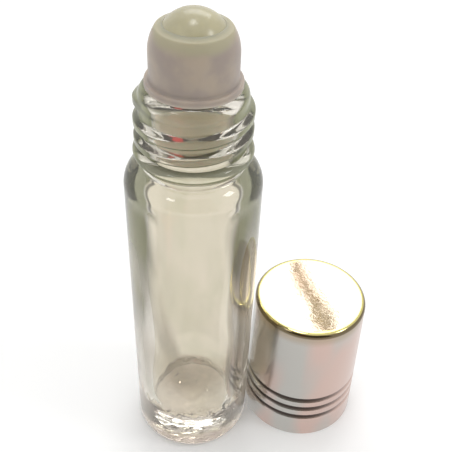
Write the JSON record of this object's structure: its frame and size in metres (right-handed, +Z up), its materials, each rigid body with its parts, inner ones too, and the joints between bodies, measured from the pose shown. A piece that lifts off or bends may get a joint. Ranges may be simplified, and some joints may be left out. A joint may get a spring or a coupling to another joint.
{
  "type": "roll on bottle",
  "caption": "Small clear glass roll-on bottle with a screwed neck, a rolling ball in a pressed-in housing, and its metal screw cap standing beside it.",
  "frame": {"origin": "centre of the bottle's base, on the surface it stands on", "axes": "+Z up along the bottle's axis; the cap stands beside the bottle, towards +X"},
  "size_m": [0.0405, 0.0247, 0.0789],
  "materials": {
    "glass": "clear, polished",
    "housing": "milky translucent, smooth",
    "ball": "smooth",
    "shell": "bright polished",
    "liner": "smooth"
  },
  "bodies": {
    "bottle": {"glass_bottle": "glass", "roller_housing": "housing"},
    "ball": {"roller_ball": "ball"},
    "cap": {"cap_shell": "shell", "cap_liner": "liner"}
  },
  "joints": [
    {"name": "ball_roll", "type": "hinge", "parent": "bottle", "child": "ball", "pos_m": [0, 0, 0.07395], "axis": [1, 0, 0], "continuous": true},
    {"name": "cap_lift", "type": "slide", "parent": "bottle", "child": "cap", "axis": [0, 0, 1], "range_m": [0, 0.085]}
  ]
}
